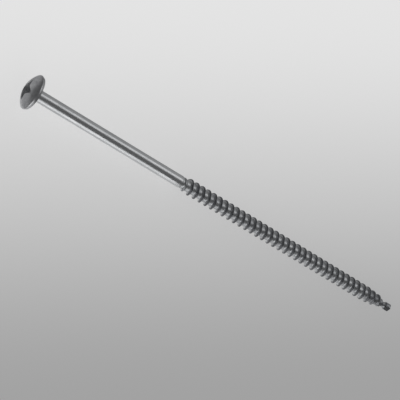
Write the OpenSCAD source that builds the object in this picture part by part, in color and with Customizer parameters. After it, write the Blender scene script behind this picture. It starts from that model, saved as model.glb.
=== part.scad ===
// Insulation screw for flat roofs: one piece of steel wire, headed, rolled and forged to a point.
// A thin domed head with a cross recess, a long plain shank, a coarse right-hand thread
// and a small fluted drill point. The screw lies at rest on a flat surface, on the rim of
// its head and on the last full crest of its thread. +X runs from the head to the point,
// +Z is up, and the origin is on the surface under the middle of the screw's length.

/* [Length] */
// Length from the bearing face under the head to the tip of the point
length = 139.8; // [110:0.1:200]
// Length of the thread, from the plain shank to the shoulder of the point
thread_len = 81.6; // [50:0.2:88]
// Length of the drill point, from its shoulder to its tip
point_len = 4.4; // [3.9:0.1:5.5]

/* [Head] */
// Diameter of the head over its rim
head_d = 11.2; // [10.8:0.1:13]
// Height of the dome above the widest line of the rim
dome_h = 2.45; // [2.2:0.05:3]
// Depth from the widest line of the rim to the bearing face
rim_h = 0.85; // [0.7:0.05:1.2]
// Radius of the rounded edge of the rim
rim_round = 0.4; // [0.25:0.05:0.5]
// Diameter of the flat bearing face
bearing_d = 10.8; // [8:0.1:10.8]
// Radius of the fillet between the bearing face and the shank
neck_fillet = 0.5; // [0.2:0.05:0.8]

/* [Cross recess] */
// Width across two opposite wings, where they meet the dome
recess_d = 6.5; // [5.6:0.1:6.8]
// Width of one wing where it leaves the round core
wing_w = 2.7; // [1.8:0.1:2.8]
// Width of one wing at its outer end, where it meets the dome
wing_end_w = 0.6; // [0.5:0.1:1.4]
// Slope of the outer end of each wing, from the axis of the screw
wing_slope = 26.5; // [20:0.5:30]
// Depth of the wings below the dome at their outer ends
wing_depth = 1.7; // [1.4:0.05:2.1]
// Diameter of the round core at the middle of the recess, at its mouth
core_d = 3.9; // [3:0.1:4.1]
// Slope of the bottom of the recess, from square across
recess_bottom_slope = 20; // [12:1:24]
// Turn of the cross about the axis of the screw
recess_turn = 17; // [0:1:89]

/* [Shank and thread] */
// Diameter of the plain shank
shank_d = 3.8; // [3.6:0.05:3.9]
// Diameter over the crests of the thread
thread_d = 5; // [4.5:0.05:5.2]
// Diameter at the root of the thread
root_d = 3.4; // [3.1:0.05:3.45]
// Distance that the thread advances in one turn
pitch = 2.25; // [2.1:0.05:2.6]
// Width of the ridge where it stands on the root
ridge_base = 1.1; // [0.8:0.05:1.3]
// Width of the flat along the crest
crest_flat = 0.3; // [0.1:0.05:0.4]
// Length over which the ridge rises to its full height at the shank
run_in = 2.3; // [1.2:0.1:4]
// Length over which the crests come in towards the point
taper_len = 6.6; // [5:0.1:12]
// Diameter over the crests where the taper ends
taper_end_d = 3.8; // [3.6:0.05:4.2]
// Length over which the ridge dies away at the shoulder of the point
run_out = 0.8; // [0.6:0.1:2]
// Length over which the root narrows towards the point
root_taper_len = 4.4; // [3:0.1:6]
// Diameter of the root where it meets the point
root_end_d = 2.6; // [2.4:0.05:2.9]
// Number of straight steps that make one turn of the thread
turn_steps = 28; // [16:2:30]

/* [Drill point] */
// Diameter of the drill
drill_d = 2.5; // [2.2:0.05:2.7]
// Diameter of the waist between the shoulder and the drill
waist_d = 1.6; // [1.4:0.1:2]
// Radius of the round groove that makes the waist
waist_groove = 1.15; // [1:0.05:1.4]
// Full angle of the cutting tip
tip_angle = 112; // [90:2:136]
// Length of the flutes, from the tip
flute_len = 2.9; // [2.4:0.1:3.2]
// Radius of the run-out at the upper end of each flute
flute_runout = 1.2; // [0.8:0.1:2]
// Thickness of the web between the flutes
web_t = 0.5; // [0.3:0.05:0.9]
// How far each flute reaches past the middle of the drill, from side to side
flute_past = 0.2; // [0:0.05:0.4]
// Turn of the flutes about the axis of the screw
flute_turn = 10; // [0:5:175]

/* [Hidden] */

// How far the shank's end and the point's shoulder stand proud of the root between them
step = 0.05;
// Length of the bevel at the end of the plain shank
shank_bevel = 0.3;
// How far a cutting shape passes the surface that it cuts
over = 1;

head_r = head_d / 2;
head_h = rim_h + dome_h;
shank_r = shank_d / 2;
shank_len = length - point_len - thread_len;
thread_end = length - point_len;

// The dome is a ball that touches the rounded rim. Its centre is on the axis.
rim_centre_r = head_r - rim_round;
dome_r = (pow(rim_centre_r, 2) + pow(dome_h, 2) - pow(rim_round, 2)) / (2 * (dome_h - rim_round));
dome_centre_z = dome_r - head_h;
touch_r = rim_centre_r * dome_r / (dome_r - rim_round);
touch_z = dome_centre_z - sqrt(pow(dome_r, 2) - pow(touch_r, 2));

// The underside of the rim is straight from the bearing face to the rounded edge, which it touches.
rim_reach = norm([bearing_d / 2 - rim_centre_r, rim_h]);
rim_lean = atan2(bearing_d / 2 - rim_centre_r, rim_h) + acos(rim_round / rim_reach);

// Height of the dome's surface at the outer ends of the wings, and the depths of the recess below it
recess_mouth_z = dome_centre_z - sqrt(pow(dome_r, 2) - pow(recess_d / 2, 2));
wing_end_z = recess_mouth_z + wing_depth;
wing_end_r = recess_d / 2 - wing_depth * tan(wing_slope);
recess_bottom_z = wing_end_z + wing_end_r * tan(recess_bottom_slope);

// The helix starts inside the shank, a little more than one turn below its end, and ends at the
// shoulder, where its last turn winds round the core of the point.
buried = pitch + 0.2;
helix_z = shank_len - buried;
steps = floor((thread_end - ridge_base - helix_z) / pitch * turn_steps);
helix_end_z = helix_z + pitch * steps / turn_steps;

// The screw leans down from the rim of its head to the last full crest that faces the surface.
last_full_turn = floor((thread_end - taper_len - helix_z - ridge_base / 2) / pitch);
rest_crest_z = helix_z + ridge_base / 2 + last_full_turn * pitch;
rest_tilt = atan((head_r - thread_d / 2) / (rest_crest_z + rim_h));
rest_lift = head_r * cos(rest_tilt) - rim_h * sin(rest_tilt);
rest_middle = (length - head_h) / 2 * cos(rest_tilt);

// The groove of the waist starts just past the shoulder.
shoulder_r = root_end_d / 2 + step;
waist_z = thread_end + step + sqrt(pow(waist_groove, 2) - pow(waist_d / 2 + waist_groove - shoulder_r, 2));
tip_len = drill_d / 2 / tan(tip_angle / 2);

steel = [0.46, 0.47, 0.48];

$fn = 96;

function clamp01(v) = min(max(v, 0), 1);

// Radius of the root at height z
function root_r(z) =
    (root_d - (root_d - root_end_d) * clamp01((z - thread_end + root_taper_len) / root_taper_len)) / 2;

// Radius of the crest at height z, where the ridge has its full height
function full_crest_r(z) =
    (thread_d - (thread_d - taper_end_d) * clamp01((z - thread_end + taper_len) / taper_len)) / 2;

// Radius of the crest of the ridge that stands from height z to z + ridge_base
function crest_r(z) =
    let (
        middle = z + ridge_base / 2,
        rise = clamp01((z - shank_len) / run_in) * clamp01((helix_end_z - z) / run_out)
    )
    root_r(middle) + (full_crest_r(middle) - root_r(middle)) * rise;

// The four corners of the ridge at one step of the helix: foot, both edges of the crest, foot
function ridge_section(k) =
    let (
        turn = 360 * k / turn_steps,
        z = helix_z + pitch * k / turn_steps,
        crest = crest_r(z)
    )
    [
        for (corner = [
            [root_r(z), z],
            [crest, z + (ridge_base - crest_flat) / 2],
            [crest, z + (ridge_base + crest_flat) / 2],
            [root_r(z + ridge_base), z + ridge_base]
        ])
        [corner[0] * cos(turn), corner[0] * sin(turn), corner[1]]
    ];

// Number of the point at corner c of step k
function at(k, c) = 4 * k + c;

// The two triangles of a four-sided face
function halves(a, b, c, d) = [[a, b, c], [a, c, d]];

// Half outline of the head, shank and fillet, with the axis on the left and the bearing face at 0
module head_outline() {
    // Dome
    intersection() {
        translate([0, dome_centre_z]) circle(dome_r);
        translate([0, -head_h - over]) square([touch_r, head_h + over + touch_z]);
    }
    // Rounded edge of the rim
    translate([rim_centre_r, -rim_h]) circle(rim_round);
    // Body of the head, down to the bearing face
    polygon([
        [0, touch_z - step],
        [touch_r - step, touch_z - step],
        [touch_r, touch_z],
        [rim_centre_r, -rim_h],
        [rim_centre_r + rim_round * sin(rim_lean), -rim_h + rim_round * cos(rim_lean)],
        [bearing_d / 2, 0],
        [0, 0]
    ]);
}

module head() {
    color(steel)
    rotate_extrude() {
        head_outline();
    }
}

// Plain shank, with the fillet under the head and a bevel down to the thread
module shank() {
    color(steel)
    rotate_extrude() {
        translate([0, -rim_h]) square([shank_r, shank_len - shank_bevel + rim_h]);
        polygon([
            [0, shank_len - shank_bevel - step],
            [shank_r, shank_len - shank_bevel - step],
            [shank_r, shank_len - shank_bevel],
            [root_d / 2 + step, shank_len],
            [0, shank_len]
        ]);
        difference() {
            translate([0, -step]) square([shank_r + neck_fillet, neck_fillet + step]);
            translate([shank_r + neck_fillet, neck_fillet]) circle(neck_fillet);
        }
    }
}

// Cross recess: four tapered wings with outer ends that slope inwards, a round core and a cone at the bottom
module cross_recess() {
    mouth_z = -head_h - over;
    mouth_r = wing_end_r + (wing_end_z - mouth_z) * tan(wing_slope);
    core_slope = (core_d / 2) / (recess_bottom_z - recess_mouth_z) / 3;
    // Two opposite wings make a rhombus, which the sloping ends blunt. Its half width falls evenly from
    // the axis, through the width at the core, to the width at the outer ends.
    core_x = sqrt(pow(core_d, 2) - pow(wing_w, 2)) / 2;
    wing_taper = (wing_w - wing_end_w) / 2 / (recess_d / 2 - core_x);
    middle_half_w = wing_w / 2 + core_x * wing_taper;
    point_x = middle_half_w / wing_taper;
    rotate(recess_turn)
    intersection() {
        rotate_extrude() {
            polygon([[0, mouth_z], [mouth_r, mouth_z], [wing_end_r, wing_end_z], [0, recess_bottom_z]]);
        }
        union() {
            for (turn = [0, 90]) {
                rotate(turn)
                translate([0, 0, mouth_z - over])
                linear_extrude(height = recess_bottom_z - mouth_z + 2 * over) {
                    polygon([[-point_x, 0], [0, -middle_half_w], [point_x, 0], [0, middle_half_w]]);
                }
            }
            translate([0, 0, mouth_z - over])
            cylinder(
                h = recess_bottom_z - mouth_z + 2 * over,
                r1 = core_d / 2 + core_slope * (recess_mouth_z - mouth_z + over),
                r2 = core_d / 2 - core_slope * (recess_bottom_z - recess_mouth_z + over)
            );
        }
    }
}

// Coarse right-hand thread on its narrower root, as one skin that winds up the helix
module thread() {
    axis_low = 4 * (steps + 1);
    axis_high = axis_low + 1;
    last = steps - turn_steps;
    points = concat(
        [for (k = [0:steps]) each ridge_section(k)],
        [[0, 0, helix_z], [0, 0, helix_end_z + ridge_base]]
    );
    ridge = [
        for (k = [0:steps - 1], c = [0:2])
            each halves(at(k, c), at(k, c + 1), at(k + 1, c + 1), at(k + 1, c))
    ];
    root = [
        for (k = [0:last - 1])
            each halves(at(k, 3), at(k + turn_steps, 0), at(k + turn_steps + 1, 0), at(k + 1, 3))
    ];
    low_end = concat(
        [for (k = [0:turn_steps - 1]) [axis_low, at(k, 0), at(k + 1, 0)]],
        [[axis_low, at(turn_steps, 0), at(0, 3)]],
        [for (c = [0:2]) [axis_low, at(0, c + 1), at(0, c)]]
    );
    high_end = concat(
        [for (k = [last:steps - 1]) [axis_high, at(k + 1, 3), at(k, 3)]],
        [[axis_high, at(last, 3), at(steps, 0)]],
        [for (c = [0:2]) [axis_high, at(steps, c), at(steps, c + 1)]]
    );
    color(steel)
    polyhedron(points = points, faces = concat(ridge, root, low_end, high_end), convexity = 20);
}

// One flute of the drill point: a straight channel that curves out at its upper end
module flute() {
    start_z = length - flute_len;
    rotate([90, 0, 0])
    translate([0, 0, -drill_d])
    linear_extrude(height = drill_d + flute_past) {
        translate([web_t / 2, start_z + flute_runout]) square([drill_d, flute_len]);
        translate([web_t / 2 + flute_runout, start_z + flute_runout]) circle(flute_runout);
    }
}

// Drill point: a core inside the end of the thread, a waist, a short fluted drill and its cutting tip
module drill_point() {
    core_z = thread_end - buried;
    color(steel)
    difference() {
        rotate_extrude() {
            difference() {
                polygon([
                    [0, core_z],
                    [root_r(core_z) + step, core_z],
                    [shoulder_r, thread_end],
                    [shoulder_r, waist_z],
                    [drill_d / 2, waist_z],
                    [drill_d / 2, length - tip_len],
                    [0, length]
                ]);
                translate([waist_d / 2 + waist_groove, waist_z]) circle(waist_groove);
            }
        }
        for (turn = [0, 180]) {
            rotate(flute_turn + turn) flute();
        }
    }
}

// The whole screw along its own axis, with the bearing face at 0 and the tip at length
module upright_screw() {
    difference() {
        union() {
            head();
            shank();
        }
        cross_recess();
    }
    thread();
    drill_point();
}

// The screw lying at rest
module screw() {
    translate([-rest_middle, 0, rest_lift])
    rotate([0, 90 + rest_tilt, 0])
    upright_screw();
}

screw();
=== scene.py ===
"""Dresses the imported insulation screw: headed shank, rolled thread and drill point, joined into one skin.

Every sub-assembly is built upright in millimetres, on the screw's own axis, with the bearing face under
the head at height 0 and the tip at the top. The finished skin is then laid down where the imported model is.
"""

import logging
import math
from dataclasses import dataclass, field
from enum import Enum

import bmesh
import bpy
from mathutils import Euler, Matrix, Vector


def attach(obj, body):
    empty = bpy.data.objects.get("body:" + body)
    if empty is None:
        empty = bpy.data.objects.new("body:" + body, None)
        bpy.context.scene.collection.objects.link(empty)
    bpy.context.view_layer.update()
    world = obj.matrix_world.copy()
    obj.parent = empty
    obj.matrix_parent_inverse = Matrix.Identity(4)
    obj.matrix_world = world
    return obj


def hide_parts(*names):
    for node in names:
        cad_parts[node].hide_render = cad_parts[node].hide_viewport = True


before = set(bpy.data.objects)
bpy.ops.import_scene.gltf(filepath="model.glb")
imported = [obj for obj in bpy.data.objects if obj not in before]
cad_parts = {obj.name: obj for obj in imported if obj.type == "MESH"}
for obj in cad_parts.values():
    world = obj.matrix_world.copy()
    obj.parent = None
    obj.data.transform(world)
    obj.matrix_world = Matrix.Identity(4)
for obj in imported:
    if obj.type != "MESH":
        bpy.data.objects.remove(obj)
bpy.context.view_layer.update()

log = logging.getLogger("screw")

MM = 0.001
NODE = "screw"
# Points nearer than this, in millimetres, are one
SAME_PLACE = 0.001

Point = tuple[float, float, float]


class Axis(Enum):
    """The screw's own directions, as they lie at rest."""

    ALONG = 2
    DOWN = 0
    ACROSS = 1


class Zone(Enum):
    """The regions that have a finish of their own. The value is the material's place on the mesh."""

    SHANK = 0
    HEAD = 1
    THREAD = 2
    POINT = 3


def linear(hex_colour: str) -> tuple[float, float, float, float]:
    """Turns an sRGB colour into the linear one that Blender's sockets take.

    Args:
        hex_colour: the colour as "#RRGGBB".

    Returns:
        Red, green, blue and full alpha.
    """
    parts = [int(hex_colour[i : i + 2], 16) / 255 for i in (1, 3, 5)]
    return (*(p / 12.92 if p <= 0.04045 else ((p + 0.055) / 1.055) ** 2.4 for p in parts), 1.0)


def add_node(tree: bpy.types.NodeTree, kind: str, inputs: dict | None = None, **settings) -> bpy.types.Node:
    """Adds a node with its settings, and gives its inputs their values or links.

    Args:
        tree: the tree that the node goes into.
        kind: the node's type.
        inputs: a value, a socket or a node for each input, by the input's name or number.
        **settings: the node's own properties.

    Returns:
        The new node. Given as an input, it stands for its first output.
    """
    node = tree.nodes.new(kind)
    for name, value in settings.items():
        setattr(node, name, value)
    for key, value in (inputs or {}).items():
        if isinstance(value, bpy.types.Node):
            value = value.outputs[0]
        if isinstance(value, bpy.types.NodeSocket):
            tree.links.new(value, node.inputs[key])
        else:
            node.inputs[key].default_value = value
    return node


@dataclass(frozen=True)
class Rest:
    """How the screw lies: on the rim of its head and on the last full crest of its thread.

    Args:
        length: from the bearing face to the tip.
        head_radius: radius of the rim.
        head_height: from the bearing face to the top of the dome.
        rim_height: from the bearing face to the widest line of the rim.
        crest_radius: radius of the full crests.
        crest_height: height of the crest that touches the surface.
    """

    length: float = 139.8
    head_radius: float = 5.6
    head_height: float = 3.3
    rim_height: float = 0.85
    crest_radius: float = 2.5
    crest_height: float = 128.4

    @property
    def tilt(self) -> float:
        """Lean of the screw's axis below the level, in radians."""
        return math.atan((self.head_radius - self.crest_radius) / (self.crest_height + self.rim_height))

    @property
    def matrix(self) -> Matrix:
        """The screw's place as it lies.

        Returns:
            The matrix that takes a point from the upright screw in millimetres to the lying one in metres.
        """
        lift = self.head_radius * math.cos(self.tilt) - self.rim_height * math.sin(self.tilt)
        middle = (self.length - self.head_height) / 2 * math.cos(self.tilt)
        place = Matrix.Translation((-middle * MM, 0, lift * MM))
        return place @ Matrix.Rotation(math.pi / 2 + self.tilt, 4, "Y") @ Matrix.Scale(MM, 4)

    def direction(self, axis: Axis) -> Vector:
        """One of the screw's own directions as it lies, of length 1."""
        return self.matrix.to_3x3().col[axis.value].normalized()


REST = Rest()


# Finishes

# Sum of the clouds and the marks at which steel is all dull, and at which it is all rubbed bright
WEAR = (0.72, 1.28)


@dataclass(frozen=True)
class SteelFinish:
    """Bare or thinly zinc-coated steel: a metal whose tone, gloss and relief come from how it was worked.

    Args:
        name: the material's name.
        bright: its colour where it is rubbed clean.
        dull: its colour where the coat is thick or the surface is closed up.
        gloss: roughness of the rubbed and of the dull places.
        grain: size in millimetres of the marks of the working, along x, y and z of the upright screw.
        relief: height of those marks in millimetres.
        bloom: size in millimetres of the clouds in the coat.
    """

    name: str
    bright: str
    dull: str
    gloss: tuple[float, float]
    grain: Point
    relief: float
    bloom: float

    def material(self) -> bpy.types.Material:
        """Builds the finish.

        Returns:
            A metal material on Object coordinates.
        """
        made = bpy.data.materials.new(self.name)
        made.use_nodes = True
        tree = made.node_tree
        shader = next(n for n in tree.nodes if n.type == "BSDF_PRINCIPLED")
        shader.inputs["Metallic"].default_value = 1.0

        # The point in millimetres of the upright screw, so that the marks follow the screw as it lies
        coordinates = add_node(tree, "ShaderNodeTexCoord")
        place = add_node(
            tree,
            "ShaderNodeMapping",
            {
                "Vector": coordinates.outputs["Object"],
                "Location": REST.matrix.to_translation(),
                "Rotation": Euler((0, math.pi / 2 + REST.tilt, 0)),
                "Scale": (MM, MM, MM),
            },
            vector_type="TEXTURE",
        )
        clouds = add_node(
            tree,
            "ShaderNodeTexNoise",
            {"Vector": place, "Scale": 1 / self.bloom, "Detail": 4.0, "Roughness": 0.6},
        )
        stretched = add_node(
            tree, "ShaderNodeMapping", {"Vector": place, "Scale": self.grain}, vector_type="TEXTURE"
        )
        marks = add_node(
            tree,
            "ShaderNodeTexNoise",
            {"Vector": stretched, "Scale": 1.0, "Detail": 3.0, "Roughness": 0.65},
        )
        wear = add_node(tree, "ShaderNodeMath", {0: clouds, 1: marks}, operation="ADD")
        share = add_node(
            tree,
            "ShaderNodeMapRange",
            {"Value": wear, "From Min": WEAR[0], "From Max": WEAR[1]},
            interpolation_type="SMOOTHSTEP",
        )
        metal = add_node(
            tree,
            "ShaderNodeMix",
            {"Factor": share, 6: linear(self.dull), 7: linear(self.bright)},
            data_type="RGBA",
        )
        rubbed, closed = self.gloss
        gloss = add_node(tree, "ShaderNodeMapRange", {"Value": share, "To Min": closed, "To Max": rubbed})
        bump = add_node(
            tree, "ShaderNodeBump", {"Height": marks, "Strength": 1.0, "Distance": self.relief * MM}
        )
        tree.links.new(metal.outputs[2], shader.inputs["Base Color"])
        tree.links.new(gloss.outputs[0], shader.inputs["Roughness"])
        tree.links.new(bump.outputs[0], shader.inputs["Normal"])
        self.soil_and_shade(tree, shader, place, metal.outputs[2], gloss.outputs[0])
        return made

    def soil_and_shade(
        self,
        tree: bpy.types.NodeTree,
        shader: bpy.types.Node,
        place: bpy.types.Node,
        metal: bpy.types.NodeSocket,
        gloss: bpy.types.NodeSocket,
    ) -> None:
        """Adds what lies on the steel, and any painted shade. Here nothing does.

        Args:
            tree: the material's tree.
            shader: its shader.
            place: the point in millimetres of the upright screw.
            metal: colour of the bare steel.
            gloss: its roughness.
        """


@dataclass(frozen=True)
class SoiledAndShadedSteel(SteelFinish):
    """Steel that keeps a grey residue of its making in some places, and painted shade in others, laid on as
    one coat.

    Args:
        residue_and_shade_colour: colour of the residue and of the painted shade.
        residue_and_shade_roughness: what that coat adds to the roughness.
        residue_and_shade_cover: how far that coat hides the metal under it.
    """

    residue_and_shade_colour: str
    residue_and_shade_roughness: float
    residue_and_shade_cover: float

    def residue_and_shade_share(self, tree: bpy.types.NodeTree, place: bpy.types.Node) -> bpy.types.Node:
        """Tells how much residue and painted shade a point has.

        Args:
            tree: the material's tree.
            place: the point in millimetres of the upright screw.

        Returns:
            A node that is 0 on bare steel and 1 where the residue and the painted shade are thickest.
        """
        raise NotImplementedError

    def soil_and_shade(
        self,
        tree: bpy.types.NodeTree,
        shader: bpy.types.Node,
        place: bpy.types.Node,
        metal: bpy.types.NodeSocket,
        gloss: bpy.types.NodeSocket,
    ) -> None:
        """Adds the residue and the painted shade.

        Args:
            tree: the material's tree.
            shader: its shader.
            place: the point in millimetres of the upright screw.
            metal: colour of the bare steel.
            gloss: its roughness.
        """
        # The residue and the painted shade are laid on as one coat.
        share = self.residue_and_shade_share(tree, place)
        colour = add_node(
            tree, "ShaderNodeMix", {"Factor": share, 6: metal, 7: linear(self.residue_and_shade_colour)}, data_type="RGBA"
        )
        rough = add_node(
            tree,
            "ShaderNodeMath",
            {0: share, 1: self.residue_and_shade_roughness, 2: gloss},
            operation="MULTIPLY_ADD",
            use_clamp=True,
        )
        bare = add_node(
            tree, "ShaderNodeMath", {0: share, 1: -self.residue_and_shade_cover, 2: 1.0}, operation="MULTIPLY_ADD"
        )
        tree.links.new(colour.outputs[2], shader.inputs["Base Color"])
        tree.links.new(rough.outputs[0], shader.inputs["Roughness"])
        tree.links.new(bare.outputs[0], shader.inputs["Metallic"])


def from_axis(tree: bpy.types.NodeTree, parts: bpy.types.Node) -> bpy.types.NodeSocket:
    """Adds the nodes that give a point's distance from the screw's axis.

    Args:
        tree: the material's tree.
        parts: the node that separates the point's x, y and z.

    Returns:
        The distance in millimetres.
    """
    level = add_node(tree, "ShaderNodeCombineXYZ", {0: parts.outputs[0], 1: parts.outputs[1]})
    return add_node(tree, "ShaderNodeVectorMath", {0: level}, operation="LENGTH").outputs["Value"]


@dataclass(frozen=True)
class DrawnSteel(SteelFinish):
    """Wire pulled through a die: fine lines along it draw the highlights out, under a thin zinc coat."""

    name: str = "zinc_coated_drawn_steel"
    bright: str = "#E1E2E4"
    dull: str = "#CFD1D3"
    gloss: tuple[float, float] = (0.24, 0.36)
    # The drawing lines are about 0.02 mm apart. They are drawn 0.22 mm apart, as coarse as they need to show.
    grain: Point = (0.22, 0.22, 9.0)
    relief: float = 0.006
    bloom: float = 6.0


@dataclass(frozen=True)
class ForgedSteel(SoiledAndShadedSteel):
    """Head struck cold in a die: duller than the wire, with the die's faint mottle, and painted shade in the
    recess: a matt grey coat that deepens with depth keeps it dark.

    Args:
        dome_radius: radius of the dome in millimetres.
        dome_centre: height of the middle of the dome's ball.
        recess_reach: distance from the axis within which the recess lies.
        shade_depth: depths under the dome at which the painted shade begins and is full.
        bearing_gap: distance that it keeps from the bearing face.
    """

    name: str = "cold_forged_steel"
    bright: str = "#D3D4D6"
    dull: str = "#BBBCBF"
    gloss: tuple[float, float] = (0.3, 0.42)
    grain: Point = (0.5, 0.5, 0.5)
    relief: float = 0.006
    bloom: float = 3.0
    # Painted shade: colour of the matt coat that keeps the recess dark.
    residue_and_shade_colour: str = "#A8A9AB"
    residue_and_shade_roughness: float = 0.5
    residue_and_shade_cover: float = 1.0
    dome_radius: float = 8.02
    dome_centre: float = 4.72
    recess_reach: float = 3.5
    shade_depth: tuple[float, float] = (0.03, 0.35)
    bearing_gap: float = 0.02

    def residue_and_shade_share(self, tree: bpy.types.NodeTree, place: bpy.types.Node) -> bpy.types.Node:
        """Tells how deep a point lies in the recess, where painted shade keeps it dark.

        Args:
            tree: the material's tree.
            place: the point in millimetres of the upright screw.

        Returns:
            A node that is 0 on the outside of the head and 1 well inside the recess.
        """
        maths = "ShaderNodeMath"
        # Painted shade: the matt coat deepens with depth into the recess.
        from_centre = add_node(
            tree, "ShaderNodeVectorMath", {0: place, 1: (0, 0, self.dome_centre)}, operation="DISTANCE"
        )
        begins, full = self.shade_depth
        depth = add_node(
            tree,
            "ShaderNodeMapRange",
            {
                "Value": from_centre.outputs["Value"],
                "From Min": self.dome_radius - begins,
                "From Max": self.dome_radius - full,
            },
            interpolation_type="SMOOTHSTEP",
        )
        parts = add_node(tree, "ShaderNodeSeparateXYZ", {0: place})
        inside = add_node(
            tree, maths, {0: from_axis(tree, parts), 1: self.recess_reach}, operation="LESS_THAN"
        )
        above = add_node(tree, maths, {0: parts.outputs[2], 1: -self.bearing_gap}, operation="LESS_THAN")
        both = add_node(tree, maths, {0: inside, 1: above}, operation="MULTIPLY")
        return add_node(tree, maths, {0: both, 1: depth}, operation="MULTIPLY")


@dataclass(frozen=True)
class RolledSteel(SoiledAndShadedSteel):
    """Thread rolled between dies: flow lines round the helix, grey scale on its crests, and painted shade
    darkening its last turns towards the point.

    Args:
        ridge_from: distance from the axis in millimetres where the ridge leaves the root.
        ridge_to: the distance from which a point belongs to the crest.
        crest_scale: how much scale the root and the crest keep.
        shaded_turns: heights between which the painted shade on the last turns sets in.
        end_shade: how dark the painted shade makes the last turns.
    """

    name: str = "rolled_thread_steel"
    bright: str = "#D8DADC"
    dull: str = "#C2C4C7"
    gloss: tuple[float, float] = (0.3, 0.42)
    grain: Point = (0.9, 0.9, 0.16)
    relief: float = 0.006
    bloom: float = 2.5
    # Grey of the scale on the crests, and of the painted shade on the last turns.
    residue_and_shade_colour: str = "#636468"
    residue_and_shade_roughness: float = 0.15
    residue_and_shade_cover: float = 0.0
    ridge_from: float = 1.85
    ridge_to: float = 2.45
    crest_scale: tuple[float, float] = (0.15, 0.85)
    shaded_turns: tuple[float, float] = (126.0, 131.0)
    end_shade: float = 0.6

    def residue_and_shade_share(self, tree: bpy.types.NodeTree, place: bpy.types.Node) -> bpy.types.Node:
        """Tells how much scale and painted shade a point of the thread has.

        Args:
            tree: the material's tree.
            place: the point in millimetres of the upright screw.

        Returns:
            A node that is 0 on bare steel and 1 at the darkest scale and painted shade.
        """
        parts = add_node(tree, "ShaderNodeSeparateXYZ", {0: place})
        root, crest = self.crest_scale
        on_ridge = add_node(
            tree,
            "ShaderNodeMapRange",
            {
                "Value": from_axis(tree, parts),
                "From Min": self.ridge_from,
                "From Max": self.ridge_to,
                "To Min": root,
                "To Max": crest,
            },
            interpolation_type="SMOOTHSTEP",
        )
        # Painted shade: the last turns darken towards the point, as the light falls off there.
        low, high = self.shaded_turns
        shaded_end = add_node(
            tree,
            "ShaderNodeMapRange",
            {"Value": parts.outputs[2], "From Min": low, "From Max": high, "To Max": self.end_shade},
            interpolation_type="SMOOTHSTEP",
        )
        return add_node(tree, "ShaderNodeMath", {0: on_ridge, 1: shaded_end}, operation="MAXIMUM")


@dataclass(frozen=True)
class HardenedSteel(SteelFinish):
    """Pinched and hardened point: dull and dark from the heat, with short marks of the pinching dies."""

    name: str = "hardened_point_steel"
    bright: str = "#ABADB0"
    dull: str = "#828488"
    gloss: tuple[float, float] = (0.3, 0.45)
    grain: Point = (0.3, 0.3, 1.2)
    relief: float = 0.006
    bloom: float = 1.2


@dataclass(frozen=True)
class GraduatedFloor:
    """Pale matt paper lit from above by the room, with a painted glow, as if lit from below, that keeps
    shadows faint, and a painted fall-off of light that makes it darker towards the camera.

    Args:
        name: the material's name.
        far: tone beyond the far edge of the picture.
        near: tone before its near edge.
        half_depth: distance in metres over which it graduates, on either side of the middle of the picture.
        softness: how softly the graduation runs out at both ends, as a share of its depth.
        glow: share of the tone that the paper gives off itself, as painted glow.
    """

    name: str = "pale_matt_paper"
    far: str = "#EAEAEA"
    near: str = "#A4A4A4"
    half_depth: float = 0.047
    softness: float = 0.4
    glow: float = 0.8

    def material(self, towards: Vector, middle: Vector) -> bpy.types.Material:
        """Builds the paper.

        Args:
            towards: level direction from the middle of the picture to its far edge.
            middle: the middle of the picture on the floor.

        Returns:
            A matt material that graduates along that direction.
        """
        made = bpy.data.materials.new(self.name)
        made.use_nodes = True
        tree = made.node_tree
        shader = next(n for n in tree.nodes if n.type == "BSDF_PRINCIPLED")
        shader.inputs["Roughness"].default_value = 0.9
        shader.inputs["Specular IOR Level"].default_value = 0.0
        coordinates = add_node(tree, "ShaderNodeTexCoord")
        along = add_node(
            tree,
            "ShaderNodeVectorMath",
            {0: coordinates.outputs["Object"], 1: towards},
            operation="DOT_PRODUCT",
        )
        # Painted fall-off of light: the tone darkens from the far edge towards the camera.
        share = add_node(
            tree,
            "ShaderNodeMapRange",
            {
                "Value": along.outputs["Value"],
                "From Min": middle.dot(towards) - self.half_depth,
                "From Max": middle.dot(towards) + self.half_depth,
            },
            clamp=False,
        )
        below = add_node(tree, "ShaderNodeMath", {0: share, 1: 1.0, 2: self.softness}, operation="SMOOTH_MIN")
        soft = add_node(tree, "ShaderNodeMath", {0: below, 1: 0.0, 2: self.softness}, operation="SMOOTH_MAX")
        tone = add_node(
            tree,
            "ShaderNodeMix",
            {"Factor": soft, 6: linear(self.near), 7: linear(self.far)},
            data_type="RGBA",
        )
        tree.links.new(tone.outputs[2], shader.inputs["Base Color"])
        # Painted glow: the paper gives off its own tone as light.
        tree.links.new(tone.outputs[2], shader.inputs["Emission Color"])
        shader.inputs["Emission Strength"].default_value = self.glow
        return made


# Sub-assemblies


class Skin:
    """A skin that grows by rings of points, each joined to the ring before it by a band of faces."""

    def __init__(self, columns: int) -> None:
        """Starts an empty skin.

        Args:
            columns: number of points in each ring.
        """
        self.columns = columns
        self.mesh = bmesh.new()
        self.last: list[bmesh.types.BMVert] = []

    def ring(self, points: list[Point], zone: Zone) -> None:
        """Adds one ring.

        Args:
            points: one point for each column, or a single point that closes the skin.
            zone: the finish of the band between this ring and the one before it.
        """
        new = [self.mesh.verts.new(p) for p in points]
        old, self.last = self.last, new
        if not old:
            return
        for i in range(self.columns):
            j = (i + 1) % self.columns
            corners = [old[i % len(old)], old[j % len(old)], new[j % len(new)], new[i % len(new)]]
            face = self.mesh.faces.new(list(dict.fromkeys(corners)))
            face.material_index = zone.value

    def round(self, radius: float, height: float, zone: Zone, turn: float = 0.0) -> None:
        """Adds a round ring.

        Args:
            radius: its radius.
            height: its height.
            zone: the finish of the band before it.
            turn: turn of its first column about the axis, in degrees.
        """
        self.ring([(radius * c, radius * s, height) for c, s in circle(self.columns, turn)], zone)


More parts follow.
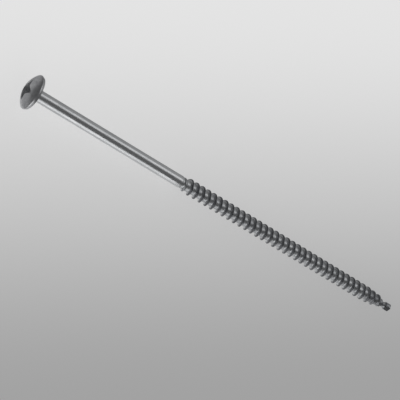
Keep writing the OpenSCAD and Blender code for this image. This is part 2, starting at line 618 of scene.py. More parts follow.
def circle(columns: int, turn: float = 0.0) -> list[tuple[float, float]]:
    """Gives the cosine and sine at even steps round a circle, from this turn in degrees."""
    steps = [math.radians(turn) + 2 * math.pi * i / columns for i in range(columns)]
    return [(math.cos(angle), math.sin(angle)) for angle in steps]


def spun(x: float, y: float, turn: float) -> tuple[float, float]:
    """Turns a point about the axis by this angle in radians."""
    return x * math.cos(turn) - y * math.sin(turn), x * math.sin(turn) + y * math.cos(turn)


def between(a: float, b: float, share: float) -> float:
    """Gives the value that lies this share of the way from a to b."""
    return a + (b - a) * share


@dataclass
class CrossRecess:
    """Cross recess for the driver bit: four wings with sloping ends, a round core and a cone below them.

    Args:
        width: across two opposite wings, at the dome.
        wing_width: width of one wing where it leaves the core.
        wing_end_width: width of its outer end.
        wing_slope: slope of a wing's outer end from the axis, in degrees.
        wing_depth: depth of the wings at their outer ends.
        core_diameter: diameter of the round core at its mouth.
        bottom_slope: slope of the bottom, in degrees.
        turn: turn of the cross about the axis, in degrees.
        edge: radius of the rounded edge where the recess meets the dome.
        core_draft: share of the core's radius that it loses from its mouth to its bottom.
        wing_limit: widest half wing as a share of the core's radius, so that neighbours don't meet.
        surround: how far outside the wings the columns of the dome are round again.
    """

    width: float = 6.5
    wing_width: float = 2.7
    wing_end_width: float = 0.6
    wing_slope: float = 26.5
    wing_depth: float = 1.7
    core_diameter: float = 3.9
    bottom_slope: float = 20.0
    turn: float = 17.0
    edge: float = 0.08
    core_draft: float = 1 / 3
    wing_limit: float = 0.69
    surround: float = 0.6

    @property
    def wing_drop(self) -> float:
        """How far a wing's end comes in from the dome to its bottom."""
        return self.wing_depth * math.tan(math.radians(self.wing_slope))

    def outline(self, columns: int, share: float, grow: float = 0.0) -> list[tuple[float, float]]:
        """Gives the outline of the cross at one depth.

        Args:
            columns: number of points round it, a multiple of 18 for each quarter.
            share: 0 at the bottom of the walls and 1 at the dome.
            grow: how far the outline stands outside the recess.

        Returns:
            The points, from the middle of the first wing.
        """
        reach = self.width / 2 - self.wing_drop * (1 - share) + grow
        core = self.core_diameter / 2 * (1 - (1 - share) * self.core_draft) + grow
        end_half = self.wing_end_width / 2 + grow
        core_half = min(self.wing_width / 2 + grow, core * self.wing_limit)
        tip_turn = math.asin(end_half / reach)
        core_turn = math.asin(core_half / core)
        quarter = columns // 4
        arc, side = quarter // 6, 2 * quarter // 9
        points = []
        for i in range(columns):
            step = i % quarter
            mirrored = step > quarter / 2
            k = quarter - step if mirrored else step
            if k <= arc:
                at = (reach * math.cos(tip_turn * k / arc), reach * math.sin(tip_turn * k / arc))
            elif k <= arc + side:
                along = (k - arc) / side
                outer, inner = reach * math.cos(tip_turn), core * math.cos(core_turn)
                at = (between(outer, inner, along), between(end_half, core_half, along))
            else:
                angle = between(core_turn, math.pi / 4, (k - arc - side) / (quarter / 2 - arc - side))
                at = (core * math.cos(angle), core * math.sin(angle))
            if mirrored:
                at = (at[1], at[0])
            points.append(spun(*at, math.radians(self.turn) + math.pi / 2 * (i // quarter)))
        return points


@dataclass
class HeadedShank:
    """Domed head with its cross recess, the flat bearing face, and the plain shank down to the thread.

    Args:
        head_diameter: diameter over the rim.
        dome_height: height of the dome above the widest line of the rim.
        rim_height: from the widest line of the rim to the bearing face.
        rim_round: radius of the rounded rim.
        bearing_diameter: diameter of the flat bearing face, with its rounded edge.
        bearing_edge: length of that round.
        neck_fillet: radius between the bearing face and the shank.
        shank_diameter: diameter of the plain shank.
        shank_end: height at which the skin of the thread takes over.
        recess: the cross recess.
        columns: number of columns round the skin.
    """

    head_diameter: float = 11.2
    dome_height: float = 2.45
    rim_height: float = 0.85
    rim_round: float = 0.4
    bearing_diameter: float = 10.5
    bearing_edge: float = 0.07
    neck_fillet: float = 0.5
    shank_diameter: float = 3.8
    shank_end: float = 53.9
    recess: CrossRecess = field(default_factory=CrossRecess)
    columns: int = 72

    def __post_init__(self) -> None:
        """Works out the ball of the dome, which touches the rounded rim."""
        self.rim_centre = self.head_diameter / 2 - self.rim_round
        self.dome_radius = (self.rim_centre**2 + self.dome_height**2 - self.rim_round**2) / (
            2 * (self.dome_height - self.rim_round)
        )
        self.dome_centre = self.dome_radius - self.rim_height - self.dome_height

    def on_dome(self, x: float, y: float) -> float:
        """Gives the height of the dome's surface over this point."""
        return self.dome_centre - math.sqrt(self.dome_radius**2 - x * x - y * y)

    def build(self) -> bmesh.types.BMesh:
        """Builds the skin from the middle of the recess over the head and down the shank, open at its end.

        Returns:
            The skin, in millimetres, upright.
        """
        skin = Skin(self.columns)
        self._sink_recess(skin)
        self._round_head(skin)
        self._draw_shank(skin)
        log.info("headed shank: %d faces, head %.1f mm", len(skin.mesh.faces), self.head_diameter)
        return skin.mesh

    def _sink_recess(self, skin: Skin) -> None:
        """Adds the bottom, the walls and the rounded mouth of the cross recess.

        Args:
            skin: the skin that they begin.
        """
        recess = self.recess
        fall = math.tan(math.radians(recess.bottom_slope))
        corner = recess.width / 2 - recess.wing_drop
        low = self.on_dome(recess.width / 2, 0) + recess.wing_depth + corner * fall
        base = recess.outline(self.columns, 0)
        # The cone of the bottom, from its lowest point out to the walls
        skin.ring([(0, 0, low)], Zone.HEAD)
        for share in (0.12, 0.3, 0.55, 0.8, 0.95):
            ring = [(x * share, y * share, low - math.hypot(x, y) * share * fall) for x, y in base]
            skin.ring(ring, Zone.HEAD)
        # The walls, up to the dome
        floor = [low - math.hypot(x, y) * fall for x, y in base]
        mouth = [self.on_dome(x, y) for x, y in recess.outline(self.columns, 1)]
        for share in (0.0, 0.06, 0.2, 0.4, 0.6, 0.8, 0.93):
            rows = zip(recess.outline(self.columns, share), floor, mouth, strict=True)
            skin.ring([(x, y, between(a, b, share)) for (x, y), a, b in rows], Zone.HEAD)
        # The rounded mouth: how far each ring stands outside the recess and under the dome, as shares
        for grow, sink in ((0.0, 1.0), (0.08, 0.62), (0.3, 0.28), (0.62, 0.07), (1.0, 0.0)):
            outline = recess.outline(self.columns, 1, grow * recess.edge)
            skin.ring([(x, y, self.on_dome(x, y) + sink * recess.edge) for x, y in outline], Zone.HEAD)
        # The dome round the mouth, where the rings pass from the cross to a circle
        rim = recess.outline(self.columns, 1, recess.edge)
        wide = self.first_round
        for share in (0.12, 0.3, 0.5, 0.75, 1.0):
            rows = zip(rim, circle(self.columns, recess.turn), strict=True)
            ring = [(between(x, wide * c, share), between(y, wide * s, share)) for (x, y), (c, s) in rows]
            skin.ring([(x, y, self.on_dome(x, y)) for x, y in ring], Zone.HEAD)

    @property
    def first_round(self) -> float:
        """Radius of the first round ring outside the recess."""
        return self.recess.width / 2 + self.recess.surround

    def _round_head(self, skin: Skin) -> None:
        """Adds the rest of the dome, the rounded rim, the underside and the bearing face.

        Args:
            skin: the skin, which ends at the first round ring outside the recess.
        """

        def turned(radius: float, height: float) -> None:
            """Adds a round ring whose columns are turned with the recess."""
            skin.round(radius, height, Zone.HEAD, self.recess.turn)

        def on_rim(angle: float) -> tuple[float, float]:
            """Gives the radius and height of the rounded rim at this angle in radians."""
            out, down = self.rim_round * math.cos(angle), self.rim_round * math.sin(angle)
            return self.rim_centre + out, down - self.rim_height

        touch = self.rim_centre * self.dome_radius / (self.dome_radius - self.rim_round)
        for k in range(1, 10):
            radius = between(self.first_round, touch, k / 9)
            turned(radius, self.on_dome(radius, 0))
        # The rim, from where it touches the dome to where it meets the slanted underside
        bearing, edge = self.bearing_diameter / 2, self.bearing_edge
        reach = math.hypot(bearing - self.rim_centre, self.rim_height)
        lean = math.atan2(bearing - self.rim_centre, self.rim_height) + math.acos(self.rim_round / reach)
        start = math.atan2(self.on_dome(touch, 0) + self.rim_height, touch - self.rim_centre)
        end = math.pi / 2 - lean
        for k in range(1, 9):
            turned(*on_rim(between(start, end, k / 8)))
        # The underside and the bearing face, with a round between them through the curve's middle
        rim_radius, rim_low = on_rim(end)
        run = math.hypot(rim_radius - bearing, rim_low)
        radius, height = bearing + edge * (rim_radius - bearing) / run, edge * rim_low / run
        turned(radius, height)
        turned((radius + 2 * bearing + (bearing - edge)) / 4, height / 4)
        turned(bearing - edge, 0.0)
        # The columns turn back to the shank's own over the bearing face.
        neck = self.shank_diameter / 2 + self.neck_fillet
        for k in range(1, 8):
            skin.round(between(bearing - edge, neck, k / 7), 0.0, Zone.HEAD, self.recess.turn * (1 - k / 7))

    def _draw_shank(self, skin: Skin) -> None:
        """Adds the fillet and the plain shank.

        Args:
            skin: the skin, which ends where the bearing face meets the fillet.
        """
        radius, fillet = self.shank_diameter / 2, self.neck_fillet
        for k in range(1, 7):
            angle = math.pi / 2 * k / 6
            skin.round(radius + fillet * (1 - math.sin(angle)), fillet * (1 - math.cos(angle)), Zone.SHANK)
        steps = 24
        for k in range(1, steps + 1):
            skin.round(radius, between(fillet, self.shank_end, k / steps), Zone.SHANK)


@dataclass
class RolledThread:
    """Coarse right-hand thread on its narrower root, made by rule along the helix.

    Args:
        start: height at which the skin leaves the shank.
        end: height at which it meets the point.
        shank_radius: radius where it leaves the shank.
        root_radius: radius of the root.
        root_end_radius: radius of the root at the point.
        root_taper: length over which the root narrows.
        crest_radius: radius over the full crests.
        taper_end_radius: radius over the last crests.
        crest_taper: length over which the crests come in.
        pitch: advance in one turn.
        first_crest: height of the crest at the first column.
        ridge_base: width of the ridge at its foot.
        crest_flat: width of the flat on the crest.
        foot_round: rounding of the foot, as a share of the ridge's height.
        crest_round: rounding of the crest's edges, as a share of the ridge's height.
        run_in_start: height at which the ridge begins to rise.
        run_in: length over which it rises.
        run_out: length over which it dies away at the point.
        shank_bevel: length of the step down from the shank to the root.
        columns: steps to a turn.
        ridge_rows: rows of faces across the ridge.
        root_rows: rows of faces across the root between ridges.
    """

    start: float = 53.9
    end: float = 135.4
    shank_radius: float = 1.9
    root_radius: float = 1.7
    root_end_radius: float = 1.3
    root_taper: float = 4.4
    crest_radius: float = 2.5
    taper_end_radius: float = 1.9
    crest_taper: float = 6.6
    pitch: float = 2.25
    first_crest: float = 49.65
    ridge_base: float = 1.1
    crest_flat: float = 0.3
    foot_round: float = 0.3
    crest_round: float = 0.3
    run_in_start: float = 54.35
    run_in: float = 2.3
    run_out: float = 0.8
    shank_bevel: float = 0.4
    columns: int = 72
    ridge_rows: int = 13
    root_rows: int = 4

    def build(self, material: bpy.types.Material) -> bmesh.types.BMesh:
        """Builds the skin of the thread, open at both ends.

        Args:
            material: the finish that the tree sets.

        Returns:
            The skin, in millimetres, upright.
        """
        tree = self._tree(material)
        holder = bpy.data.objects.new("thread_rule", bpy.data.meshes.new("thread_rule"))
        bpy.context.scene.collection.objects.link(holder)
        rule = holder.modifiers.new("thread_rule", "NODES")
        rule.node_group = tree
        values = self._values()
        for socket in tree.interface.items_tree:
            if socket.in_out == "INPUT" and socket.name in values:
                rule[socket.identifier] = values[socket.name]
        seen = holder.evaluated_get(bpy.context.evaluated_depsgraph_get())
        mesh = bpy.data.meshes.new_from_object(seen)
        made = bmesh.new()
        made.from_mesh(mesh)
        holder.modifiers.remove(rule)
        bpy.data.objects.remove(holder)
        bpy.data.meshes.remove(mesh)
        bpy.data.node_groups.remove(tree)
        for face in made.faces:
            face.material_index = Zone.THREAD.value
        log.info("rolled thread: %d faces, pitch %.2f mm", len(made.faces), self.pitch)
        return made

    @property
    def half_ridge(self) -> float:
        """Half the ridge's width, with the rounding of its foot."""
        return self.ridge_base / 2 + self.foot_round * self.flank

    @property
    def flank(self) -> float:
        """Width of one flank of the ridge."""
        return (self.ridge_base - self.crest_flat) / 2

    def _values(self) -> dict[str, float | int]:
        """Gives the value of each input of the tree.

        Returns:
            The values by the inputs' names. Whole numbers are counts, and the rest are millimetres or shares.
        """
        travel = self.end + self.half_ridge - self.first_crest
        return {
            "Steps": math.ceil(travel / self.pitch * self.columns) + self.columns,
            "Steps to a turn": self.columns,
            "Ridge rows": self.ridge_rows,
            "Root rows": self.root_rows,
            "Start": self.start,
            "End": self.end,
            "Shank radius": self.shank_radius,
            "Root radius": self.root_radius,
            "Root end radius": self.root_end_radius,
            "Root taper": self.root_taper,
            "Crest radius": self.crest_radius,
            "Taper end radius": self.taper_end_radius,
            "Crest taper": self.crest_taper,
            "Pitch": self.pitch,
            "First crest": self.first_crest,
            "Half ridge": self.half_ridge,
            "Half base": self.ridge_base / 2,
            "Flank": self.flank,
            "Foot round": self.foot_round,
            "Crest round": self.crest_round,
            "Run-in start": self.run_in_start,
            "Run-in": self.run_in,
            "Run-out": self.run_out,
            "Shank bevel": self.shank_bevel,
        }

    def _tree(self, material: bpy.types.Material) -> bpy.types.NodeTree:
        """Builds the tree that winds a flat grid into the thread.

        Args:
            material: the finish that the tree sets.

        Returns:
            The tree, whose inputs are named in _values.
        """
        tree = bpy.data.node_groups.new("thread_rule", "GeometryNodeTree")
        tree.interface.new_socket("Geometry", in_out="OUTPUT", socket_type="NodeSocketGeometry")
        for name, value in self._values().items():
            kind = "NodeSocketInt" if isinstance(value, int) else "NodeSocketFloat"
            tree.interface.new_socket(name, in_out="INPUT", socket_type=kind)
        given = add_node(tree, "NodeGroupInput").outputs
        maths, remap = "ShaderNodeMath", "ShaderNodeMapRange"

        # A grid with one column for each step along the helix and one row for each place across the pitch
        rows = add_node(tree, maths, {0: given["Ridge rows"], 1: given["Root rows"]}, operation="ADD")
        grid = add_node(
            tree,
            "GeometryNodeMeshGrid",
            {
                "Size X": given["Steps"],
                "Size Y": rows,
                "Vertices X": add_node(tree, maths, {0: given["Steps"], 1: 1.0}, operation="ADD"),
                "Vertices Y": add_node(tree, maths, {0: rows, 1: 1.0}, operation="ADD"),
            },
        )
        flat = add_node(tree, "ShaderNodeSeparateXYZ", {0: add_node(tree, "GeometryNodeInputPosition")})
        step = add_node(
            tree, maths, {0: given["Steps"], 1: 0.5, 2: flat.outputs["X"]}, operation="MULTIPLY_ADD"
        )
        row = add_node(tree, maths, {0: rows, 1: 0.5, 2: flat.outputs["Y"]}, operation="MULTIPLY_ADD")
        turns = add_node(tree, maths, {0: step, 1: given["Steps to a turn"]}, operation="DIVIDE")
        crest_at = add_node(
            tree, maths, {0: turns, 1: given["Pitch"], 2: given["First crest"]}, operation="MULTIPLY_ADD"
        )

        # Distance from the crest: first over the ridge, then over the root up to the next ridge
        below = add_node(tree, maths, {0: given["Half ridge"], 1: -1.0}, operation="MULTIPLY")
        over_ridge = add_node(
            tree,
            remap,
            {
                "Value": row,
                "From Min": 0.0,
                "From Max": given["Ridge rows"],
                "To Min": below,
                "To Max": given["Half ridge"],
            },
        )
        gap = add_node(
            tree, maths, {0: given["Half ridge"], 1: -2.0, 2: given["Pitch"]}, operation="MULTIPLY_ADD"
        )
        over_root = add_node(
            tree,
            remap,
            {"Value": row, "From Min": given["Ridge rows"], "From Max": rows, "To Min": 0.0, "To Max": gap},
        )
        offset = add_node(tree, maths, {0: over_ridge, 1: over_root}, operation="ADD")

        # Height, held between the two ends of the skin, where the rows fold into plain rings
        wound = add_node(tree, maths, {0: crest_at, 1: offset}, operation="ADD")
        above_start = add_node(tree, maths, {0: wound, 1: given["Start"]}, operation="MAXIMUM")
        height = add_node(tree, maths, {0: above_start, 1: given["End"]}, operation="MINIMUM")

        # Radius of the root, with the step down from the shank and the taper at the point
        bevel_end = add_node(tree, maths, {0: given["Start"], 1: given["Shank bevel"]}, operation="ADD")
        step_down = add_node(
            tree,
            remap,
            {
                "Value": height,
                "From Min": given["Start"],
                "From Max": bevel_end,
                "To Min": given["Shank radius"],
                "To Max": given["Root radius"],
            },
            interpolation_type="SMOOTHSTEP",
        )
        narrowing = add_node(
            tree, maths, {0: given["Root end radius"], 1: given["Root radius"]}, operation="SUBTRACT"
        )
        narrows_from = add_node(tree, maths, {0: given["End"], 1: given["Root taper"]}, operation="SUBTRACT")
        narrowed = add_node(
            tree,
            remap,
            {
                "Value": height,
                "From Min": narrows_from,
                "From Max": given["End"],
                "To Min": 0.0,
                "To Max": narrowing,
            },
        )
        root = add_node(tree, maths, {0: step_down, 1: narrowed}, operation="ADD")

        # Radius of the crest, and its rise at both ends
        lowers_from = add_node(tree, maths, {0: given["End"], 1: given["Crest taper"]}, operation="SUBTRACT")
        crest = add_node(
            tree,
            remap,
            {
                "Value": crest_at,
                "From Min": lowers_from,
                "From Max": given["End"],
                "To Min": given["Crest radius"],
                "To Max": given["Taper end radius"],
            },
        )
        risen_at = add_node(tree, maths, {0: given["Run-in start"], 1: given["Run-in"]}, operation="ADD")
        rise_in = add_node(
            tree, remap, {"Value": crest_at, "From Min": given["Run-in start"], "From Max": risen_at}
        )
        last_crest = add_node(tree, maths, {0: given["End"], 1: given["Half base"]}, operation="SUBTRACT")
        falls_at = add_node(tree, maths, {0: last_crest, 1: given["Run-out"]}, operation="SUBTRACT")
        rise_out = add_node(tree, remap, {"Value": crest_at, "From Min": last_crest, "From Max": falls_at})
        rise = add_node(tree, maths, {0: rise_in, 1: rise_out}, operation="MULTIPLY")

        # Section of the ridge: straight flanks between a rounded foot and a rounded crest
        aside = add_node(tree, maths, {0: offset}, operation="ABSOLUTE")
        up_flank = add_node(tree, maths, {0: given["Half base"], 1: aside}, operation="SUBTRACT")
        slope = add_node(tree, maths, {0: up_flank, 1: given["Flank"]}, operation="DIVIDE")
        footed = add_node(tree, maths, {0: slope, 1: 0.0, 2: given["Foot round"]}, operation="SMOOTH_MAX")
        crested = add_node(tree, maths, {0: footed, 1: 1.0, 2: given["Crest round"]}, operation="SMOOTH_MIN")
        ridge = add_node(tree, maths, {0: crested, 1: rise}, operation="MULTIPLY")
        proud = add_node(tree, maths, {0: crest, 1: root}, operation="SUBTRACT")
        radius = add_node(tree, maths, {0: proud, 1: ridge, 2: root}, operation="MULTIPLY_ADD")

        # The grid is wound up, and neighbouring turns share their edge. The folded rows vanish.
        angle = add_node(tree, maths, {0: turns, 1: 2 * math.pi}, operation="MULTIPLY")
        cosine = add_node(tree, maths, {0: angle}, operation="COSINE")
        sine = add_node(tree, maths, {0: angle}, operation="SINE")
        place = add_node(
            tree,
            "ShaderNodeCombineXYZ",
            {
                "X": add_node(tree, maths, {0: radius, 1: cosine}, operation="MULTIPLY"),
                "Y": add_node(tree, maths, {0: radius, 1: sine}, operation="MULTIPLY"),
                "Z": height,
            },
        )
        bent = add_node(tree, "GeometryNodeSetPosition", {"Geometry": grid, "Position": place})
        merged = add_node(tree, "GeometryNodeMergeByDistance", {"Geometry": bent, "Distance": SAME_PLACE})
        real = add_node(tree, "GeometryNodeRealizeInstances", {"Geometry": merged})
        dressed = add_node(tree, "GeometryNodeSetMaterial", {"Geometry": real, "Material": material})
        add_node(tree, "NodeGroupOutput", {"Geometry": dressed})
        return tree


@dataclass
class DrillPoint:
    """Shoulder, waist, short drill with two flutes, and its cutting tip.

    Args:
        start: height of the shoulder.
        length: from the shoulder to the tip.
        shoulder_radius: radius at the shoulder.
        waist_radius: radius of the waist between the shoulder and the drill.
        waist_groove: radius of the round groove that makes the waist.
        diameter: diameter of the drill.
        tip_angle: full angle of the tip, in degrees.
        flute_length: length of the flutes from the tip.
        flute_runout: radius of the run-out at the upper end of each flute.
        web: thickness of the web between the flutes.
        flute_past: how far each flute reaches past the middle.
        flute_turn: turn of the flutes about the axis, in degrees.
        corner: radius of the rounded corner at the bottom of each flute.
        columns: number of columns round the skin.
    """

    start: float = 135.4
    length: float = 4.4
    shoulder_radius: float = 1.3
    waist_radius: float = 0.8
    waist_groove: float = 1.15
    diameter: float = 2.5
    tip_angle: float = 112.0
    flute_length: float = 2.9
    flute_runout: float = 1.2
    web: float = 0.5
    flute_past: float = 0.2
    flute_turn: float = 10.0
    corner: float = 0.22
    columns: int = 72

    def build(self) -> bmesh.types.BMesh:
        """Builds the skin of the point, open at the shoulder.

        Returns:
            The skin, in millimetres, upright.
        """
        blank = self._object("point_blank", self._blank())
        for k in range(2):
            cutter = self._object("flute_cutter", self._cutter(math.radians(self.flute_turn) + math.pi * k))
            cut = blank.modifiers.new("flute", "BOOLEAN")
            cut.operation = "DIFFERENCE"
            cut.solver = "MANIFOLD"
            cut.object = cutter
        seen = blank.evaluated_get(bpy.context.evaluated_depsgraph_get())
        mesh = bpy.data.meshes.new_from_object(seen)
        made = bmesh.new()
        made.from_mesh(mesh)
        for modifier in list(blank.modifiers):
            cutter = modifier.object
            blank.modifiers.remove(modifier)
            bpy.data.objects.remove(cutter)
        bpy.data.objects.remove(blank)
        bpy.data.meshes.remove(mesh)
        cap = [f for f in made.faces if all(abs(v.co.z - self.start) < SAME_PLACE for v in f.verts)]
        bmesh.ops.delete(made, geom=cap, context="FACES")
        inner = [e for e in made.edges if not e.is_boundary]
        bmesh.ops.dissolve_limit(made, angle_limit=math.radians(0.5), verts=made.verts, edges=inner)
        bmesh.ops.triangulate(made, faces=[f for f in made.faces if len(f.verts) > 4])
        for face in made.faces:
            face.material_index = Zone.POINT.value
        log.info("drill point: %d faces, drill %.1f mm", len(made.faces), self.diameter)
        return made

    @staticmethod
    def _object(name: str, mesh: bmesh.types.BMesh) -> bpy.types.Object:
        """Puts a mesh into a new object in the scene.

        Args:
            name: the object's name.
            mesh: its mesh, which is freed.

        Returns:
            The object.
        """
        data = bpy.data.meshes.new(name)
        mesh.to_mesh(data)
        mesh.free()
        made = bpy.data.objects.new(name, data)
        bpy.context.scene.collection.objects.link(made)
        return made

    def _blank(self) -> bmesh.types.BMesh:
        """Builds the closed point before its flutes are cut.

        Returns:
            The point's mesh, from a cap at the shoulder to the tip.
        """
        skin = Skin(self.columns)
        radius = self.diameter / 2
        tip = radius / math.tan(math.radians(self.tip_angle / 2))
        end = self.start + self.length
        skin.ring([(0, 0, self.start)], Zone.POINT)
        skin.round(self.shoulder_radius, self.start, Zone.POINT)
        centre = self.waist_radius + self.waist_groove
        below = math.acos((centre - self.shoulder_radius) / self.waist_groove)
        above = math.acos((centre - radius) / self.waist_groove)
        waist = self.start + self.waist_groove * math.sin(below)
        for k in range(1, 13):
            angle = between(-below, above, k / 12)
            radius_here = centre - self.waist_groove * math.cos(angle)
            skin.round(radius_here, waist + self.waist_groove * math.sin(angle), Zone.POINT)
        drill = waist + self.waist_groove * math.sin(above)
        straight = end - tip - drill
        for k in range(1, 5):
            skin.round(radius, drill + straight * k / 4, Zone.POINT)
        for k in range(1, 6):
            skin.round(radius * (1 - k / 6), end - tip * (1 - k / 6), Zone.POINT)
        skin.ring([(0, 0, end)], Zone.POINT)
        return skin.mesh

    def _cutter(self, turn: float) -> bmesh.types.BMesh:
        """Builds the closed body that cuts one flute.

        Args:
            turn: its turn about the axis, in radians.

        Returns:
            The cutter's mesh.
        """
        start = self.start + self.length - self.flute_length
        inner, far, runout = self.web / 2, self.diameter, self.flute_runout
        # Its section: up the web, round the run-out, and back outside the drill
        profile = [(inner, start + self.length)]
        for k in range(0, 17):
            angle = math.pi * k / 16
            profile.append((inner + runout * (1 - math.cos(angle)), start + runout * (1 - math.sin(angle))))
        profile.append((inner + 2 * runout, start + self.length))
        # Its places across the drill, with how far the section draws in there to round the flute's corner
        rows = [(-self.flute_past, self.corner)]
        for k in range(1, 6):
            angle = math.pi / 2 * k / 5
            rows.append(
                (-self.flute_past + self.corner * (1 - math.cos(angle)), self.corner * (1 - math.sin(angle)))
            )
        rows.append((far, 0.0))
        made = bmesh.new()
        rings = []
        for across, inset in rows:
            ring = []
            for out, height in profile:
                x = out + inset * max(0.0, 1 - (out - inner) / runout)
                z = height + inset * min(1.0, max(0.0, (start + runout - height) / runout))
                ring.append(made.verts.new((*spun(x, across, turn), z)))
            rings.append(ring)
        for a, b in zip(rings, rings[1:]):
            for i in range(len(profile)):
                j = (i + 1) % len(profile)
                made.faces.new((a[i], a[j], b[j], b[i]))
        made.faces.new(rings[0])
        made.faces.new(rings[-1])
        bmesh.ops.recalc_face_normals(made, faces=made.faces)
        return made


@dataclass
class InsulationScrew:
    """The whole screw: its three sub-assemblies joined into one closed skin.

    Args:
        shank: the head and the plain shank.
        thread: the thread.
        point: the drill point.
        smooth_up_to: angle in degrees up to which neighbouring faces are shaded as one surface.
        seam: distance in millimetres within which the edges of two sub-assemblies are joined.
    """

    shank: HeadedShank = field(default_factory=HeadedShank)
    thread: RolledThread = field(default_factory=RolledThread)
    point: DrillPoint = field(default_factory=DrillPoint)
    smooth_up_to: float = 42.0
    seam: float = 0.002

    def build(self) -> bpy.types.Object:
        """Builds and dresses the screw, and lays it down.

        Returns:
            The finished piece, at the origin, with its place in its mesh.
        """
        finishes = {
            Zone.SHANK: DrawnSteel(),
            Zone.HEAD: ForgedSteel(dome_radius=self.shank.dome_radius, dome_centre=self.shank.dome_centre),
            Zone.THREAD: RolledSteel(),
            Zone.POINT: HardenedSteel(),
        }
        materials = {zone: finish.material() for zone, finish in finishes.items()}
        whole = bmesh.new()
        for part in (self.shank.build(), self.thread.build(materials[Zone.THREAD]), self.point.build()):
            loose = bpy.data.meshes.new("part")
            part.to_mesh(loose)
            part.free()
            whole.from_mesh(loose)
            bpy.data.meshes.remove(loose)
        rims = [v for v in whole.verts if v.is_boundary]
        bmesh.ops.remove_doubles(whole, verts=rims, dist=self.seam)
        open_edges = sum(not e.is_manifold for e in whole.edges)
        log.info("one skin: %d faces, %d edges left open", len(whole.faces), open_edges)
        bmesh.ops.recalc_face_normals(whole, faces=whole.faces)
        whole.transform(REST.matrix)

        mesh = bpy.data.meshes.new("insulation_screw")
        whole.to_mesh(mesh)
        whole.free()
        for zone in sorted(Zone, key=lambda z: z.value):
            mesh.materials.append(materials[zone])
        mesh.polygons.foreach_set("use_smooth", [True] * len(mesh.polygons))
        mesh.set_sharp_from_angle(angle=math.radians(self.smooth_up_to))
        piece = bpy.data.objects.new("insulation_screw", mesh)
        bpy.context.scene.collection.objects.link(piece)
        return piece


# Stage


@dataclass(frozen=True)
class Camera:
    """The camera of the photograph.

    Args:
        away: angle in degrees by which the screw's axis turns away from the picture plane, head nearest.
        slope: fall of the screw across the picture, in degrees.
        lean: angle in degrees by which the camera is lowered round the screw from straight above it.
        lens: focal length in millimetres, on a sensor 36 mm wide.
        distance: from the aim to the camera, in millimetres.
        aim: height of the aimed point on the screw's axis.
        aside: how far the aim lies below the axis in the picture, in millimetres.
    """

    away: float = 25.5
    slope: float = 31.13
    lean: float = 14.0
    lens: float = 184.5
    distance: float = 617.5
    aim: float = 62.76
    aside: float = 1.60

    def directions(self) -> tuple[Vector, Vector, Vector]:
        """Gives the camera's directions.

        Returns:
            The picture's right and up, and the direction back from the aim to the camera.
        """
        along, across = REST.direction(Axis.ALONG), REST.direction(Axis.ACROSS)
        upwards = -REST.direction(Axis.DOWN)
        lean, away, slope = (math.radians(a) for a in (self.lean, self.away, self.slope))
        aside = math.cos(lean) * across + math.sin(lean) * upwards
        nearer = -math.sin(lean) * across + math.cos(lean) * upwards
        back = -math.sin(away) * along + math.cos(away) * nearer
        run = math.cos(away) * along + math.sin(away) * nearer
        right = math.cos(slope) * run + math.sin(slope) * aside
        up = -math.sin(slope) * run + math.cos(slope) * aside
        return right, up, back

    def target(self) -> Vector:
        """Gives the point that the camera aims at.

        Returns:
            The point that is in the middle of the picture, in metres.
        """
        right, up, _ = self.directions()
        slope = math.radians(self.slope)
        aside = math.sin(slope) * right + math.cos(slope) * up
        return REST.matrix @ Vector((0, 0, self.aim)) - self.aside * MM * aside

    def build(self) -> bpy.types.Object:
        """Puts the camera in the scene.

        Returns:
            The camera, which is the scene's.
        """
        data = bpy.data.cameras.new("camera")
        data.sensor_width = 36.0
        data.lens = self.lens
        data.clip_start, data.clip_end = 0.01, 20.0
        camera = bpy.data.objects.new("camera", data)
        right, up, back = self.directions()
        turned = Matrix((right, up, back)).transposed().to_4x4()
        camera.matrix_world = Matrix.Translation(self.target() + back * self.distance * MM) @ turned
        bpy.context.scene.collection.objects.link(camera)
        bpy.context.scene.camera = camera
        return camera


@dataclass(frozen=True)
class Softbox:
    """A soft light that the steel mirrors as a band or a patch.

    Args:
        name: the light's name.
        turn: its turn round the screw, from straight up towards the back, in degrees.
        ahead: its lean towards the point, in degrees.
        size: its width along the screw and its height, in metres.
        radiance: how bright it is.
        distance: its distance from the screw in metres.
    """

    name: str
    turn: float
    ahead: float
    size: tuple[float, float]
    radiance: float
    distance: float = 0.6

    def build(self, target: Vector) -> bpy.types.Object:
        """Puts the light in the scene.

        Args:
            target: the point that it faces.

        Returns:
            The light, which only the metal sees.
        """
        data = bpy.data.lights.new(self.name, "AREA")
        data.shape = "RECTANGLE"
        data.size, data.size_y = self.size
        data.energy = self.radiance * math.pi * self.size[0] * self.size[1]
        light = bpy.data.objects.new(self.name, data)
        along, across = REST.direction(Axis.ALONG), REST.direction(Axis.ACROSS)
        turn, ahead = math.radians(self.turn), math.radians(self.ahead)
        side = math.sin(turn) * across - math.cos(turn) * REST.direction(Axis.DOWN)
        back = math.cos(ahead) * side + math.sin(ahead) * along
        wide = (along - along.dot(back) * back).normalized()
        turned = Matrix((wide, back.cross(wide), back)).transposed().to_4x4()
        light.matrix_world = Matrix.Translation(target + back * self.distance) @ turned
        bpy.context.scene.collection.objects.link(light)
        light.visible_diffuse = False
        return light


# The lights are hidden from matt surfaces, which the paper's glow and the haze of the room light.
LIGHTS = (
    # The band on top of the shank, the spots between the crests, and part of the rim
    Softbox("overhead_softbox", 34, 22.5, (0.85, 0.34), 0.7),
    # The brightest band, on the shank's near side, and the near flanks of the thread
    Softbox("low_strip", -80, -9, (0.92, 0.53), 1.02),
    # The grey edge under that band
    Softbox("under_card", -147, 16.5, (0.8, 0.98), 0.46),
    # The grey band on the shank's far side
    Softbox("back_card", 92, 31.5, (0.9, 0.9), 0.2),
    # The dome, and the far edge of the crests
    Softbox("head_card", 170, -26, (1.47, 1.18), 0.31),
    # A faint line under the rim
    Softbox("rim_card", -98, 51, (0.16, 0.4), 0.5),
)


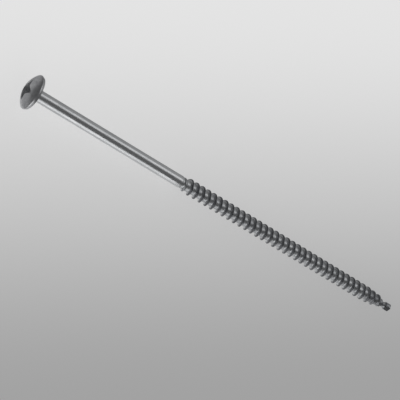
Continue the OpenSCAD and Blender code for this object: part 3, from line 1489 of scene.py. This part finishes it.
@dataclass
class Studio:
    """Pale floor, dim room, soft lights and the camera.

    Args:
        camera: the camera.
        floor: finish of the floor.
        floor_size: width of the floor in metres.
        room: brightness of the room that the metal reflects.
        haze: brightness of the light that falls on matt surfaces from all round.
        backdrop: brightness of the room behind the floor.
        aim: height of the point on the screw's axis that the lights face.
    """

    camera: Camera = field(default_factory=Camera)
    floor: GraduatedFloor = field(default_factory=GraduatedFloor)
    floor_size: float = 6.0
    room: float = 0.11
    haze: float = 0.15
    backdrop: float = 0.6
    aim: float = 65.0

    def build(self) -> None:
        """Builds the stage round the lying screw."""
        self.camera.build()
        self._lay_floor()
        self._fill_room()
        self._hang_lights()
        bpy.context.scene.view_settings.view_transform = "Standard"

    def _lay_floor(self) -> None:
        """Lays the floor under the screw."""
        half = self.floor_size / 2
        corners = [(-half, -half, 0), (half, -half, 0), (half, half, 0), (-half, half, 0)]
        mesh = bpy.data.meshes.new("floor")
        mesh.from_pydata(corners, [], [(0, 1, 2, 3)])
        floor = bpy.data.objects.new("floor", mesh)
        bpy.context.scene.collection.objects.link(floor)
        _, up, back = self.camera.directions()
        towards = Vector((up.x, up.y, 0)).normalized()
        target = self.camera.target()
        middle = target - back * (target.z / back.z)
        mesh.materials.append(self.floor.material(towards, middle))
        # The metal mirrors the even room and the soft lights alone, so its bands of light stay clear.
        floor.visible_glossy = False

    def _fill_room(self) -> None:
        """Gives the room its even light: pale to the camera, dim to the metal."""
        world = bpy.data.worlds.new("room")
        world.use_nodes = True
        bpy.context.scene.world = world
        tree = world.node_tree
        tree.nodes.clear()
        path = add_node(tree, "ShaderNodeLightPath")
        matt = add_node(
            tree,
            "ShaderNodeMapRange",
            {"Value": path.outputs["Is Diffuse Ray"], "To Min": self.room, "To Max": self.haze},
        )
        seen = add_node(
            tree, "ShaderNodeMix", {"Factor": path.outputs["Is Camera Ray"], 2: matt, 3: self.backdrop}
        )
        light = add_node(tree, "ShaderNodeBackground", {"Color": linear("#FFFFFF"), "Strength": seen})
        add_node(tree, "ShaderNodeOutputWorld", {"Surface": light})

    def _hang_lights(self) -> None:
        """Hangs the soft lights that draw the highlights along the screw."""
        target = REST.matrix @ Vector((0, 0, self.aim))
        for box in LIGHTS:
            box.build(target)
        log.info("stage: floor %.0f m wide, %d soft lights", self.floor_size, len(LIGHTS))


def main() -> None:
    """Builds the screw on its stage, and hands it to the frame."""
    logging.basicConfig(level=logging.INFO, format="%(name)s: %(message)s")
    screw = InsulationScrew().build()
    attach(screw, "root")
    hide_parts(NODE)
    Studio().build()


if __name__ == "__main__":
    main()
